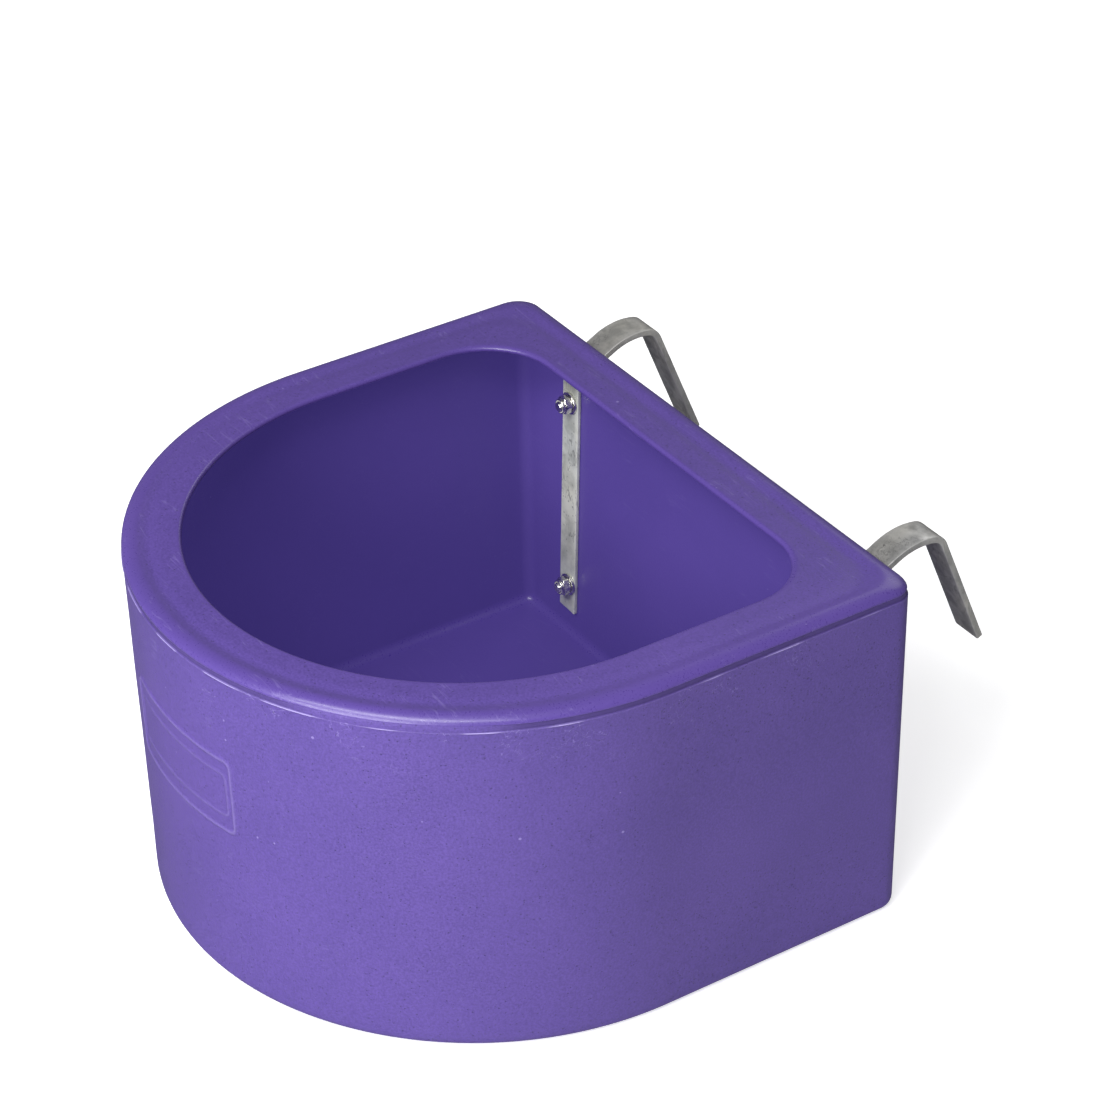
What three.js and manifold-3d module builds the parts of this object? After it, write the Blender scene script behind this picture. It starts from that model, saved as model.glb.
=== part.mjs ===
// D-shaped feed bucket that hangs on a fence rail: a hollow moulded shell with an inward lip,
// two bent flat-bar hooks bolted to its upright back, and a backing strap inside behind each hook.
//
// Frame, in millimetres: +Z up, +Y out of the flat back towards the rail, +X along the back wall.
// The origin is on the flat underside, at the centre of the front half-circle.
import * as THREE from "three";
import { mergeVertices } from "three/addons/utils/BufferGeometryUtils.js";
import Module from "manifold-3d";

const wasm = await Module();
wasm.setup();

// ---- Driving dimensions ----

// Moulded shell
const FRONT_RADIUS = 237.5; // half of the width across the straight sides
const STRAIGHT = 199; // length of each straight side, from the back to the start of the curve
const HEIGHT = 275;
const SKIN = 5.2; // wall, floor and lip thickness
const BACK_CORNER_RADIUS = 14;
const EDGE_RADIUS = 10; // rounding of the top and bottom outer edges
const SIDE_DRAFT = 2.9; // how much closer each side is at the floor than at the rim
const FRONT_DRAFT = 5.9; // the same for the front; the back wall is upright

// Opening in the lip
const LIP_SIDE = 43.3;
const LIP_FRONT = 40.6;
const LIP_BACK = 44.2;
const OPENING_CORNER_RADIUS = 54;

// Mould parting line, and the blank raised panel on the front
const PARTING_DROP = 10; // below the rim
const PARTING_PROUD = 0.6;
const PANEL_WIDTH = 128;
const PANEL_LOW = 136;
const PANEL_HIGH = 200;
const PANEL_PROUD = 0.8;

// Hooks, bent from flat bar
const HOOK_X = 171; // from the middle of the bucket to the middle of each hook
const HOOK_WIDTH = 25;
const BAR = 5; // thickness
const BAR_LOW_END = 27; // height of the lower cut end above the underside
const UPRIGHT = 204; // straight run against the back wall
const RISE_BEND = { angle: 62, radius: 15.5 }; // bends away from the wall, measured on the centre line
const RISE = 17.7;
const CROWN_BEND = { angle: 40, radius: 47.5 };
const NOSE_BEND = { angle: 56, radius: 11.5 };
const LEG = 98.5; // splayed leg behind the rail
const BAR_EDGE = 0.6; // softened edges of the bar

// Backing straps inside
const STRAP_WIDTH = 20;
const STRAP_THICKNESS = 3;
const STRAP_LENGTH = 221;
const STRAP_MIDDLE = 137.5; // height of its middle
const STRAP_INSET = 2.7; // how much nearer the middle of the bucket it lies than the hook
const STRAP_LEAN = 2.6; // degrees, its top towards the middle of the bucket

// Fasteners, M8
const BOLT_HEIGHTS = { lower: 52, upper: 217 };
const BOLT_INSETS = { lower: 1, upper: 6.5 }; // nearer the middle of the bucket than the hook
const BOLT_RADIUS = 4;
const HOLE_RADIUS = 4.5;
const ACROSS_FLATS = 13;
const HEAD_HEIGHT = 5.3;
const WASHER_RADIUS = 8.75;
const WASHER_THICKNESS = 1.6;
const NUT_HEX_HEIGHT = 5.6;
const NUT_COLLAR_HEIGHT = 2.2;
const NUT_COLLAR_RADIUS = 5.9;
const INSERT_RADIUS = 5; // nylon ring held in the collar
const BOLT_STUB = 1.5; // what shows beyond the nut
const TURNED_CHAMFER = 0.8;
const HEX_TURN = 38; // degrees up from +X to the middle of the first flat

// Fits and fineness
const GAP = 0.3; // left between touching pieces
const ARC_STEPS = 8; // straight steps in each drawn arc
const ROUNDING_STEPS = 3;
const ROUND_STEPS = 16; // sides of a turned piece
const REACH = 20; // how far a cutting tool passes the faces it cuts

// ---- Finishes ----

const polyethylene = new THREE.MeshStandardMaterial({ color: 0x6a55a0, roughness: 0.55, metalness: 0 });
const galvanised = new THREE.MeshStandardMaterial({ color: 0x9b9c98, roughness: 0.55, metalness: 0.8 });
const zincPlate = new THREE.MeshStandardMaterial({ color: 0xc4c4c0, roughness: 0.3, metalness: 0.9 });
const nylon = new THREE.MeshStandardMaterial({ color: 0xd8d8d2, roughness: 0.6, metalness: 0 });

// ---- Solids ----

/** A closed geometry as a solid that can be joined and cut. */
function solid(geometry) {
  const bare = geometry.clone();
  bare.deleteAttribute("normal");
  bare.deleteAttribute("uv");
  const merged = mergeVertices(bare, 1e-3);
  const mesh = new wasm.Mesh({
    numProp: 3,
    vertProperties: merged.attributes.position.array,
    triVerts: new Uint32Array(merged.index.array),
  });
  return new wasm.Manifold(mesh);
}

/** A solid as a named mesh of the given finish. */
function piece(name, body, material) {
  const { vertProperties, triVerts } = body.getMesh();
  const geometry = new THREE.BufferGeometry();
  geometry.setAttribute("position", new THREE.BufferAttribute(vertProperties, 3));
  geometry.setIndex(new THREE.BufferAttribute(triVerts, 1));
  geometry.computeVertexNormals();
  const mesh = new THREE.Mesh(geometry, material);
  mesh.name = name;
  return mesh;
}

/** A ring or a round bar turned about Y, from [radius, y] points that run up its outside. */
function turned(points) {
  const profile = points.map(([radius, y]) => new THREE.Vector2(radius, y));
  return solid(new THREE.LatheGeometry(profile, ROUND_STEPS));
}

/** A plain round bar along Y between two places. */
function roundBar(radius, low, high) {
  return turned([[0, low], [radius, low], [radius, high], [0, high]]);
}

/** A flat ring about Y between two places. */
function ring(inner, outer, low, high) {
  return turned([[inner, low], [outer, low], [outer, high], [inner, high], [inner, low]]);
}

// ---- Bucket shell ----

/** A closed outline with a straight back at STRAIGHT - backInset and a half-round front. */
function dOutline(sideInset, frontInset, backInset, cornerRadius) {
  const halfWidth = FRONT_RADIUS - sideInset;
  const frontDepth = FRONT_RADIUS - frontInset;
  const back = STRAIGHT - backInset;
  const quarter = Math.PI / 2;
  const outline = new THREE.Shape();
  outline.moveTo(halfWidth, 0);
  outline.absarc(halfWidth - cornerRadius, back - cornerRadius, cornerRadius, 0, quarter);
  outline.absarc(cornerRadius - halfWidth, back - cornerRadius, cornerRadius, quarter, 2 * quarter);
  for (let start = 2 * quarter; start < 4 * quarter; start += quarter / 2) {
    outline.absellipse(0, 0, halfWidth, frontDepth, start, start + quarter / 2);
  }
  return outline;
}

/** An outline raised from low to high, with its upper and lower edges rounded inwards. */
function raised(outline, low, high, rounding) {
  const geometry = new THREE.ExtrudeGeometry(outline, {
    depth: high - low - 2 * rounding,
    curveSegments: ARC_STEPS,
    bevelEnabled: rounding > 0,
    bevelThickness: rounding,
    bevelSize: rounding,
    bevelOffset: -rounding,
    bevelSegments: ROUNDING_STEPS,
  });
  return geometry.translate(0, 0, low + rounding);
}

/** Leans the sides and the front in towards the floor, leaving the back wall upright. */
function drafted(geometry) {
  const points = geometry.attributes.position;
  for (let i = 0; i < points.count; i++) {
    const depth = 1 - points.getZ(i) / HEIGHT;
    const fromBack = STRAIGHT - points.getY(i);
    const sideScale = 1 - (SIDE_DRAFT / FRONT_RADIUS) * depth;
    const frontScale = 1 - (FRONT_DRAFT / (STRAIGHT + FRONT_RADIUS)) * depth;
    points.setX(i, points.getX(i) * sideScale);
    points.setY(i, STRAIGHT - fromBack * frontScale);
  }
  return geometry;
}

/** The thin flash that the mould's two halves leave round the rim. */
function partingFlash() {
  const geometry = new THREE.ExtrudeGeometry(dOutline(0, 0, 0, BACK_CORNER_RADIUS), {
    depth: PARTING_PROUD,
    curveSegments: ARC_STEPS,
    bevelThickness: PARTING_PROUD,
    bevelSize: PARTING_PROUD,
    bevelSegments: 1,
  });
  return geometry.translate(0, 0, HEIGHT - PARTING_DROP - PARTING_PROUD / 2);
}

/** The blank raised panel, a short stretch of the front curve. */
function frontPanel() {
  const halfAngle = PANEL_WIDTH / 2 / FRONT_RADIUS;
  const middle = 1.5 * Math.PI;
  const outer = FRONT_RADIUS + PANEL_PROUD;
  const outline = new THREE.Shape();
  outline.absarc(0, 0, outer, middle - halfAngle, middle + halfAngle);
  outline.absarc(0, 0, FRONT_RADIUS - SKIN / 2, middle + halfAngle, middle - halfAngle, true);
  return raised(outline, PANEL_LOW, PANEL_HIGH, 0);
}

/** Where the bolts of one side stand, as [level, x, z]; side is -1 on the left and 1 on the right. */
function boltPlaces(side) {
  return Object.keys(BOLT_HEIGHTS).map((level) => [
    level,
    side * (HOOK_X - BOLT_INSETS[level]),
    BOLT_HEIGHTS[level],
  ]);
}

/** A solid with the bolt holes of one side cut through it. */
function drilled(body, side) {
  const cutter = roundBar(HOLE_RADIUS, STRAIGHT - REACH, STRAIGHT + REACH);
  for (const [, x, z] of boltPlaces(side)) {
    body = body.subtract(cutter.translate([x, 0, z]));
  }
  return body;
}

/** The whole shell: outer form, less the hollow, the opening and the bolt holes. */
function bucketShell() {
  const outer = raised(dOutline(0, 0, 0, BACK_CORNER_RADIUS), 0, HEIGHT, EDGE_RADIUS);
  const innerCorner = BACK_CORNER_RADIUS - SKIN;
  const innerEdge = EDGE_RADIUS - SKIN;
  const hollow = raised(dOutline(SKIN, SKIN, SKIN, innerCorner), SKIN, HEIGHT - SKIN, innerEdge);
  const openingOutline = dOutline(LIP_SIDE, LIP_FRONT, LIP_BACK, OPENING_CORNER_RADIUS);
  const opening = raised(openingOutline, HEIGHT - SKIN - REACH, HEIGHT + REACH, 0);
  let shell = solid(drafted(outer));
  shell = shell.add(solid(drafted(partingFlash())));
  shell = shell.add(solid(drafted(frontPanel())));
  shell = shell.subtract(solid(drafted(hollow)));
  shell = shell.subtract(solid(opening));
  return drilled(drilled(shell, -1), 1);
}

// ---- Hooks and straps ----

/** Both faces of a bent bar, from the runs and right-hand bends of its centre line. */
function bentBarOutline(start, steps) {
  const outline = new THREE.Shape();
  const place = start.clone();
  let heading = Math.PI / 2;
  const faces = { left: [], right: [] };
  const mark = () => {
    const normal = new THREE.Vector2(-Math.sin(heading), Math.cos(heading)).multiplyScalar(BAR / 2);
    faces.left.push(place.clone().add(normal));
    faces.right.unshift(place.clone().sub(normal));
  };
  mark();
  for (const step of steps) {
    if (typeof step === "number") {
      place.add(new THREE.Vector2(Math.cos(heading), Math.sin(heading)).multiplyScalar(step));
      mark();
      continue;
    }
    const turn = THREE.MathUtils.degToRad(step.angle) / ARC_STEPS;
    const chord = 2 * step.radius * Math.sin(turn / 2);
    for (let i = 0; i < ARC_STEPS; i++) {
      heading -= turn / 2;
      place.add(new THREE.Vector2(Math.cos(heading), Math.sin(heading)).multiplyScalar(chord));
      heading -= turn / 2;
      mark();
    }
  }
  outline.setFromPoints([...faces.right, ...faces.left]);
  return outline;
}

/** One hook: the bent bar stood on edge across X, with its two bolt holes. */
function hook(side) {
  const start = new THREE.Vector2(STRAIGHT + GAP + BAR / 2, BAR_LOW_END);
  const steps = [UPRIGHT, RISE_BEND, RISE, CROWN_BEND, NOSE_BEND, LEG];
  const geometry = new THREE.ExtrudeGeometry(bentBarOutline(start, steps), {
    depth: HOOK_WIDTH - 2 * BAR_EDGE,
    bevelThickness: BAR_EDGE,
    bevelSize: BAR_EDGE,
    bevelOffset: -BAR_EDGE,
    bevelSegments: 1,
  });
  geometry.translate(0, 0, BAR_EDGE - HOOK_WIDTH / 2);
  const acrossToX = new THREE.Matrix4().makeBasis(
    new THREE.Vector3(0, 1, 0),
    new THREE.Vector3(0, 0, 1),
    new THREE.Vector3(1, 0, 0),
  );
  return drilled(solid(geometry.applyMatrix4(acrossToX)).translate([side * HOOK_X, 0, 0]), side);
}

/** One flat strap against the inside of the back wall, leaning a little. */
function backingStrap(side) {
  const middleY = STRAIGHT - SKIN - GAP - STRAP_THICKNESS / 2;
  const geometry = new THREE.BoxGeometry(STRAP_WIDTH, STRAP_THICKNESS, STRAP_LENGTH);
  geometry.rotateY(THREE.MathUtils.degToRad(-side * STRAP_LEAN));
  geometry.translate(side * (HOOK_X - STRAP_INSET), middleY, STRAP_MIDDLE);
  return drilled(solid(geometry), side);
}

// ---- Fasteners, each drawn on the Y axis with its bolt head towards +Y ----

const headFace = STRAIGHT + GAP + BAR + GAP;
const washerFace = STRAIGHT - SKIN - GAP - STRAP_THICKNESS - GAP;
const nutFace = washerFace - WASHER_THICKNESS - GAP;
const collarFace = nutFace - NUT_HEX_HEIGHT;
const nutEnd = collarFace - NUT_COLLAR_HEIGHT;
const boltEnd = nutEnd - BOLT_STUB;

/** A hexagonal prism about Y, trimmed to a cone at its corners on the end at coneEnd. */
function hexagon(low, high, coneEnd) {
  const cornerRadius = ACROSS_FLATS / Math.sqrt(3);
  const prism = new THREE.CylinderGeometry(cornerRadius, cornerRadius, high - low, 6);
  prism.translate(0, (low + high) / 2, 0);
  const flat = ACROSS_FLATS / 2;
  const drop = (cornerRadius - flat) / 2;
  const trimmed = coneEnd === high
    ? turned([[0, low], [cornerRadius, low], [cornerRadius, high - drop], [flat, high], [0, high]])
    : turned([[0, low], [flat, low], [cornerRadius, low + drop], [cornerRadius, high], [0, high]]);
  return solid(prism).intersect(trimmed).rotate([0, -HEX_TURN, 0]);
}

function bolt() {
  const tip = BOLT_RADIUS - TURNED_CHAMFER;
  const shank = turned([
    [0, boltEnd],
    [tip, boltEnd],
    [BOLT_RADIUS, boltEnd + TURNED_CHAMFER],
    [BOLT_RADIUS, headFace + HEAD_HEIGHT / 2],
    [0, headFace + HEAD_HEIGHT / 2],
  ]);
  return shank.add(hexagon(headFace, headFace + HEAD_HEIGHT, headFace + HEAD_HEIGHT));
}

function washer() {
  return ring(HOLE_RADIUS, WASHER_RADIUS, washerFace - WASHER_THICKNESS, washerFace);
}

/** Hexagon, round collar, threaded bore, and the seat of the nylon ring inside the collar. */
function lockNut() {
  const bore = BOLT_RADIUS + GAP;
  const collar = roundBar(NUT_COLLAR_RADIUS, nutEnd, collarFace + TURNED_CHAMFER);
  const seat = roundBar(INSERT_RADIUS + GAP, nutEnd - REACH, collarFace);
  return hexagon(collarFace, nutFace, collarFace)
    .add(collar)
    .subtract(roundBar(bore, nutEnd - REACH, nutFace + REACH))
    .subtract(seat);
}

function nylonInsert() {
  return ring(BOLT_RADIUS + GAP / 2, INSERT_RADIUS, nutEnd + GAP, collarFace - GAP);
}

// ---- Assembly ----

const bucket = new THREE.Group();
bucket.name = "feed_bucket";
bucket.add(piece("bucket_shell", bucketShell(), polyethylene));

const fastenerKinds = {
  bolt: [bolt(), zincPlate],
  washer: [washer(), zincPlate],
  lock_nut: [lockNut(), zincPlate],
  nylon_insert: [nylonInsert(), nylon],
};

for (const [side, sign] of Object.entries({ left: -1, right: 1 })) {
  bucket.add(piece(`${side}_hook`, hook(sign), galvanised));
  bucket.add(piece(`${side}_backing_strap`, backingStrap(sign), galvanised));
  for (const [level, x, z] of boltPlaces(sign)) {
    const fastening = new THREE.Group();
    fastening.position.set(x, 0, z);
    for (const [kind, [body, material]] of Object.entries(fastenerKinds)) {
      fastening.add(piece(`${side}_${level}_${kind}`, body, material));
    }
    bucket.add(fastening);
  }
}

export default bucket;
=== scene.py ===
"""Looks of a D-shaped feed bucket that hangs on a fence rail by two bolted flat-bar hooks."""

import logging
from dataclasses import dataclass, field
from enum import Enum

import bmesh
import bpy
import numpy as np
from mathutils import Matrix, Vector


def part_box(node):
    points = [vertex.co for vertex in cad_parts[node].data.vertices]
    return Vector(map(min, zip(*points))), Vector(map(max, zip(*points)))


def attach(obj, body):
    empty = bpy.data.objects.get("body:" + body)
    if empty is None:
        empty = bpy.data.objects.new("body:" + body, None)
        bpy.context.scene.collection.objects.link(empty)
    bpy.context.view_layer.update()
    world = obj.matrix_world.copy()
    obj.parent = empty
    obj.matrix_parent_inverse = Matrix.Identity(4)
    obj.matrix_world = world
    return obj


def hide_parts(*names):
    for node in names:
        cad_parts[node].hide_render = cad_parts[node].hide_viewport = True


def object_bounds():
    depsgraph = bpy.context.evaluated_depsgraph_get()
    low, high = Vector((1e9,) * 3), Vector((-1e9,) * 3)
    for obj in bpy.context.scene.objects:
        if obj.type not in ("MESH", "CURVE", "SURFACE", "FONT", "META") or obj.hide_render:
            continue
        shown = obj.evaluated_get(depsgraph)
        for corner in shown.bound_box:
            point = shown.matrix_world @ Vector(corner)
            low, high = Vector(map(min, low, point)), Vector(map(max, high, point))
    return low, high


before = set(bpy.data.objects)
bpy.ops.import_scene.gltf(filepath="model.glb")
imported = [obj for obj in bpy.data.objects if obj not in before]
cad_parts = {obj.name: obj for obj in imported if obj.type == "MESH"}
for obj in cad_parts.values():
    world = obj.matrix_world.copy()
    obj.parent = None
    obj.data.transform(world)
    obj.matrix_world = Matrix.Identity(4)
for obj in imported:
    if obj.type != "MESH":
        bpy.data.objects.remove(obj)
CAD_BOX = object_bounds()

LOG = logging.getLogger("feed_bucket")
MM = 0.001
BODY = "root"
Colour = tuple[float, float, float, float]
WHITE: Colour = (1.0, 1.0, 1.0, 1.0)
SIDES = ("left", "right")
LEVELS = ("lower", "upper")


class Slot(Enum):
    """Material slots of the record."""

    POLYETHYLENE = "moulded_polyethylene"
    BAR = "galvanised_bar"
    STRAP = "galvanised_strap"
    FASTENER = "zinc_plated_fastener"
    NYLON = "nylon"


# ---- Node helpers ----


class Board:
    """Adds nodes to one node tree and joins them."""

    def __init__(self, tree: bpy.types.NodeTree) -> None:
        """Starts a board on a tree.

        Args:
            tree: The shader or geometry node tree.
        """
        self.tree = tree
        self.column = 0

    def add(self, kind: str, inputs: dict | None = None, **settings) -> bpy.types.Node:
        """Adds one node, sets its properties and feeds its inputs.

        Args:
            kind: The node's type name.
            inputs: Sockets by name or number, each fed by another socket or a plain value.
            **settings: Properties of the node.

        Returns:
            The new node.
        """
        node = self.tree.nodes.new(kind)
        self.column += 1
        node.location = (self.column % 12 * 190, -(self.column // 12) * 260)
        for name, value in settings.items():
            setattr(node, name, value)
        for name, value in (inputs or {}).items():
            self.feed(node, name, value)
        return node

    def feed(self, node: bpy.types.Node, name: str | int, value: object) -> None:
        """Links a socket to an input, or sets the input's plain value."""
        if isinstance(value, bpy.types.NodeSocket):
            self.tree.links.new(value, node.inputs[name])
        else:
            node.inputs[name].default_value = value

    def out(self, kind: str, inputs: dict | None = None, **settings) -> bpy.types.NodeSocket:
        """First output of a new node."""
        return self.add(kind, inputs, **settings).outputs[0]

    def math(self, operation: str, *values: object) -> bpy.types.NodeSocket:
        """Result of a Math node with the given operation and inputs."""
        return self.out("ShaderNodeMath", dict(enumerate(values)), operation=operation)

    def vector(self, operation: str, *values: object) -> bpy.types.NodeSocket:
        """Result of a Vector Math node with the given operation and inputs."""
        return self.out("ShaderNodeVectorMath", dict(enumerate(values)), operation=operation)

    def times(self, first: object, second: object) -> bpy.types.NodeSocket:
        """Product of two values."""
        return self.math("MULTIPLY", first, second)

    def plus(self, first: object, second: object) -> bpy.types.NodeSocket:
        """Sum of two values."""
        return self.math("ADD", first, second)

    def minus(self, first: object, second: object) -> bpy.types.NodeSocket:
        """First value less the second."""
        return self.math("SUBTRACT", first, second)

    def total(self, value: object, *parts: tuple[object, float]) -> bpy.types.NodeSocket:
        """Sum of a value and some parts, each a socket and the share of it that counts."""
        for part, share in parts:
            value = self.plus(value, self.times(part, share))
        return value

    def xyz(self, x: object = 0.0, y: object = 0.0, z: object = 0.0) -> bpy.types.NodeSocket:
        """Vector made of three parts."""
        return self.out("ShaderNodeCombineXYZ", {0: x, 1: y, 2: z})

    def mask(self, name: str) -> bpy.types.NodeSocket:
        """Value of a mask stored on the mesh."""
        return self.add("ShaderNodeAttribute", attribute_name=name).outputs["Fac"]

    def ramp(self, value: bpy.types.NodeSocket, low: float, high: float,
             to_low: float = 0.0, to_high: float = 1.0) -> bpy.types.NodeSocket:
        """Eases a value between two levels.

        Args:
            value: The socket to read.
            low: Where the change starts.
            high: Where the change ends.
            to_low: Result at and below low.
            to_high: Result at and above high.

        Returns:
            The result socket.
        """
        return self.out("ShaderNodeMapRange", {0: value, 1: low, 2: high, 3: to_low, 4: to_high},
                        interpolation_type="SMOOTHSTEP")

    def blend(self, amount: object, first: object, second: object,
              mode: str = "MIX") -> bpy.types.NodeSocket:
        """Colour of a Mix node between two colours."""
        node = self.add("ShaderNodeMix", {0: amount, 6: first, 7: second}, data_type="RGBA",
                        blend_type=mode)
        return node.outputs[2]

    def between(self, value: bpy.types.NodeSocket, low: float, high: float, first: Colour,
                second: Colour) -> bpy.types.NodeSocket:
        """Colour that goes from the first to the second as a value goes from low to high."""
        return self.blend(self.ramp(value, low, high), first, second)

    def painted(self, colour: bpy.types.NodeSocket,
                *coats: tuple[bpy.types.NodeSocket, float, object]) -> bpy.types.NodeSocket:
        """Colour under some coats, each a mask, the share of it that covers, and a colour."""
        for mask, share, coat in coats:
            colour = self.blend(self.times(mask, share), colour, coat)
        return colour

    def group(self, tree: bpy.types.NodeTree, **values) -> bpy.types.NodeSocket:
        """First output of a placed node group.

        Args:
            tree: The group's tree.
            **values: Its inputs, whose names use spaces for underscores.

        Returns:
            The output socket.
        """
        inputs = {name.replace("_", " "): value for name, value in values.items()}
        kind = self.tree.bl_idname.replace("Tree", "")
        return self.out(f"{kind}Group", inputs, node_tree=tree)


def new_group(name: str, kind: str, inputs: dict[str, tuple], outputs: dict[str, str]) -> tuple:
    """Makes a node group with named sockets.

    Args:
        name: The group's name.
        kind: Its tree type.
        inputs: Socket type and default by name.
        outputs: Socket type by name.

    Returns:
        The board, the group's input sockets and its output node.
    """
    tree = bpy.data.node_groups.new(name, kind)
    for label, (socket, default) in inputs.items():
        made = tree.interface.new_socket(label, in_out="INPUT", socket_type=socket)
        if default is not None:
            made.default_value = default
    for label, socket in outputs.items():
        tree.interface.new_socket(label, in_out="OUTPUT", socket_type=socket)
    board = Board(tree)
    return board, board.add("NodeGroupInput").outputs, board.add("NodeGroupOutput")


FLOAT = "NodeSocketFloat"
VECTOR = "NodeSocketVector"
GEOMETRY = "NodeSocketGeometry"
PIECE_INPUTS = {"Geometry": (GEOMETRY, None), "Material": ("NodeSocketMaterial", None)}
PLACE_INPUTS = {"Lower Across": (FLOAT, 0.17), "Upper Across": (FLOAT, 0.17),
                "Lower Height": (FLOAT, 0.05), "Upper Height": (FLOAT, 0.2)}


# ---- Shared surface effects ----


class Effects:
    """Shader groups that more than one finish uses."""

    def __init__(self) -> None:
        """Builds each group once."""
        self.specks = self._specks()
        self.clouds = self._clouds()
        self.scratches = self._scratches()

    def _specks(self) -> bpy.types.NodeTree:
        """Scattered small dots: pits, dust specks or grit."""
        board, given, result = new_group(
            "scattered specks", "ShaderNodeTree",
            {"Vector": (VECTOR, None), "Scale": (FLOAT, 400.0), "Share": (FLOAT, 0.2),
             "Size": (FLOAT, 0.25)}, {"Mask": FLOAT})
        cells = board.add("ShaderNodeTexVoronoi", {"Vector": given["Vector"],
                                                   "Scale": given["Scale"]})
        pick = board.add("ShaderNodeSeparateColor", {0: cells.outputs["Color"]})
        chosen = board.math("LESS_THAN", pick.outputs[0], given["Share"])
        spread = board.times(pick.outputs[1], given["Size"])
        soft = board.ramp(board.minus(spread, cells.outputs["Distance"]), 0.0, 0.08)
        board.feed(result, "Mask", board.times(soft, chosen))
        return board.tree

    def _clouds(self) -> bpy.types.NodeTree:
        """Soft uneven patches, from -1 to 1."""
        board, given, result = new_group(
            "soft patches", "ShaderNodeTree",
            {"Vector": (VECTOR, None), "Scale": (FLOAT, 12.0), "Detail": (FLOAT, 4.0),
             "Contrast": (FLOAT, 2.0)}, {"Value": FLOAT})
        noise = board.out("ShaderNodeTexNoise", {"Vector": given["Vector"], "Roughness": 0.6,
                                                 "Scale": given["Scale"],
                                                 "Detail": given["Detail"]})
        spread = board.times(board.minus(noise, 0.5), given["Contrast"])
        board.feed(result, "Value", board.times(spread, 2.0))
        return board.tree

    def _scratches(self) -> bpy.types.NodeTree:
        """Broken hair lines along the first axis of the vector."""
        board, given, result = new_group(
            "broken scratches", "ShaderNodeTree",
            {"Vector": (VECTOR, None), "Scale": (FLOAT, 60.0), "Stretch": (FLOAT, 14.0),
             "Width": (FLOAT, 0.03), "Share": (FLOAT, 0.45)}, {"Mask": FLOAT})
        squeeze = board.xyz(board.math("DIVIDE", 1.0, given["Stretch"]), 1.0, 1.0)
        stretched = board.vector("MULTIPLY", given["Vector"], squeeze)
        lines = board.out("ShaderNodeTexNoise", {"Vector": stretched, "Detail": 2.0,
                                                 "Scale": given["Scale"]})
        off = board.math("ABSOLUTE", board.minus(lines, 0.5))
        line = board.ramp(board.math("DIVIDE", off, given["Width"]), 0.2, 1.0, 1.0, 0.0)
        patches = board.out("ShaderNodeTexNoise", {"Vector": given["Vector"], "Scale": 34.0,
                                                   "Detail": 1.0})
        gate = board.math("LESS_THAN", patches, given["Share"])
        board.feed(result, "Mask", board.times(line, gate))
        return board.tree


# ---- Finishes ----


@dataclass(frozen=True)
class Finish:
    """What every finish shares: its name, its colour and how rough it is."""

    name: str
    colour: tuple[float, float, float]
    roughness: float
    metallic: float = 0.0

    def build(self, effects: Effects) -> bpy.types.Material:
        """Builds the material.

        Args:
            effects: Shader groups that the finishes share.

        Returns:
            The node material.
        """
        material = bpy.data.materials.new(self.name)
        material.use_nodes = True
        board = Board(material.node_tree)
        shader = next(n for n in board.tree.nodes if n.type == "BSDF_PRINCIPLED")
        board.feed(shader, "Metallic", self.metallic)
        place = board.add("ShaderNodeTexCoord").outputs["Object"]
        self.dress(board, shader, place, effects)
        return material

    def dress(self, board: Board, shader: bpy.types.Node, place: bpy.types.NodeSocket,
              effects: Effects) -> None:
        """Joins the finish's own nodes to the shader; each finish has its own.

        Args:
            board: The material's board.
            shader: The Principled BSDF.
            place: Object coordinates.
            effects: Shader groups that the finishes share.
        """
        raise NotImplementedError

    def shade(self, level: float, warm: float = 0.0) -> tuple[float, float, float, float]:
        """The finish's colour made lighter or darker, and warmer or cooler."""
        red, green, blue = (part * level for part in self.colour)
        return (red * (1 + warm), green, blue * (1 - warm), 1.0)

    def bump(self, board: Board, shader: bpy.types.Node, height: object, depth: float) -> None:
        """Joins a height to the shader's normal.

        Args:
            board: The material's board.
            shader: The Principled BSDF.
            height: Height socket.
            depth: Metres that a height of 1 stands for.
        """
        normal = board.out("ShaderNodeBump", {"Height": height, "Distance": depth,
                                              "Strength": 1.0})
        board.feed(shader, "Normal", normal)


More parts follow.
